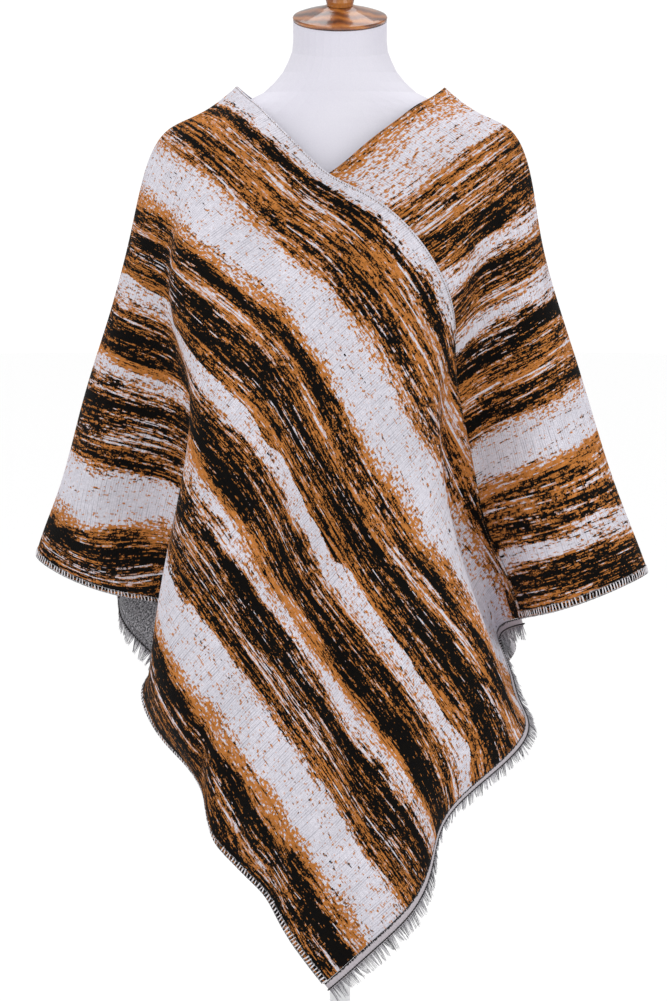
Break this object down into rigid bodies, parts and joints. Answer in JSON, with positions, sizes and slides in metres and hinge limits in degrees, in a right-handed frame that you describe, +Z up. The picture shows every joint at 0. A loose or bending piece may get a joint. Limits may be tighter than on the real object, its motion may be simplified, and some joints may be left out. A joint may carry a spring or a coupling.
{
  "type": "poncho on dress form",
  "caption": "Two-rectangle poncho with a pointed front and back and fringed ends, draped over a limbless dress form on a pole and round base.",
  "frame": {"origin": "centre of the footprint, on the floor", "axes": "+Z up, -Y towards the front of the wearer, +X to the viewer's right"},
  "size_m": [0.7296, 0.6662, 1.5546],
  "materials": {
    "striped_cloth": "matte",
    "fringe_yarn": "matte",
    "form_jersey": "matte",
    "varnished_wood": "gloss",
    "painted_steel": "satin"
  },
  "bodies": {
    "root": {"panel_left": "striped_cloth", "panel_right": "striped_cloth", "fringe_front": "fringe_yarn", "fringe_back": "fringe_yarn", "form_torso": "form_jersey", "neck_cap": "varnished_wood", "neck_finial": "varnished_wood", "stand_pole": "painted_steel", "stand_base": "painted_steel"}
  },
  "joints": []
}
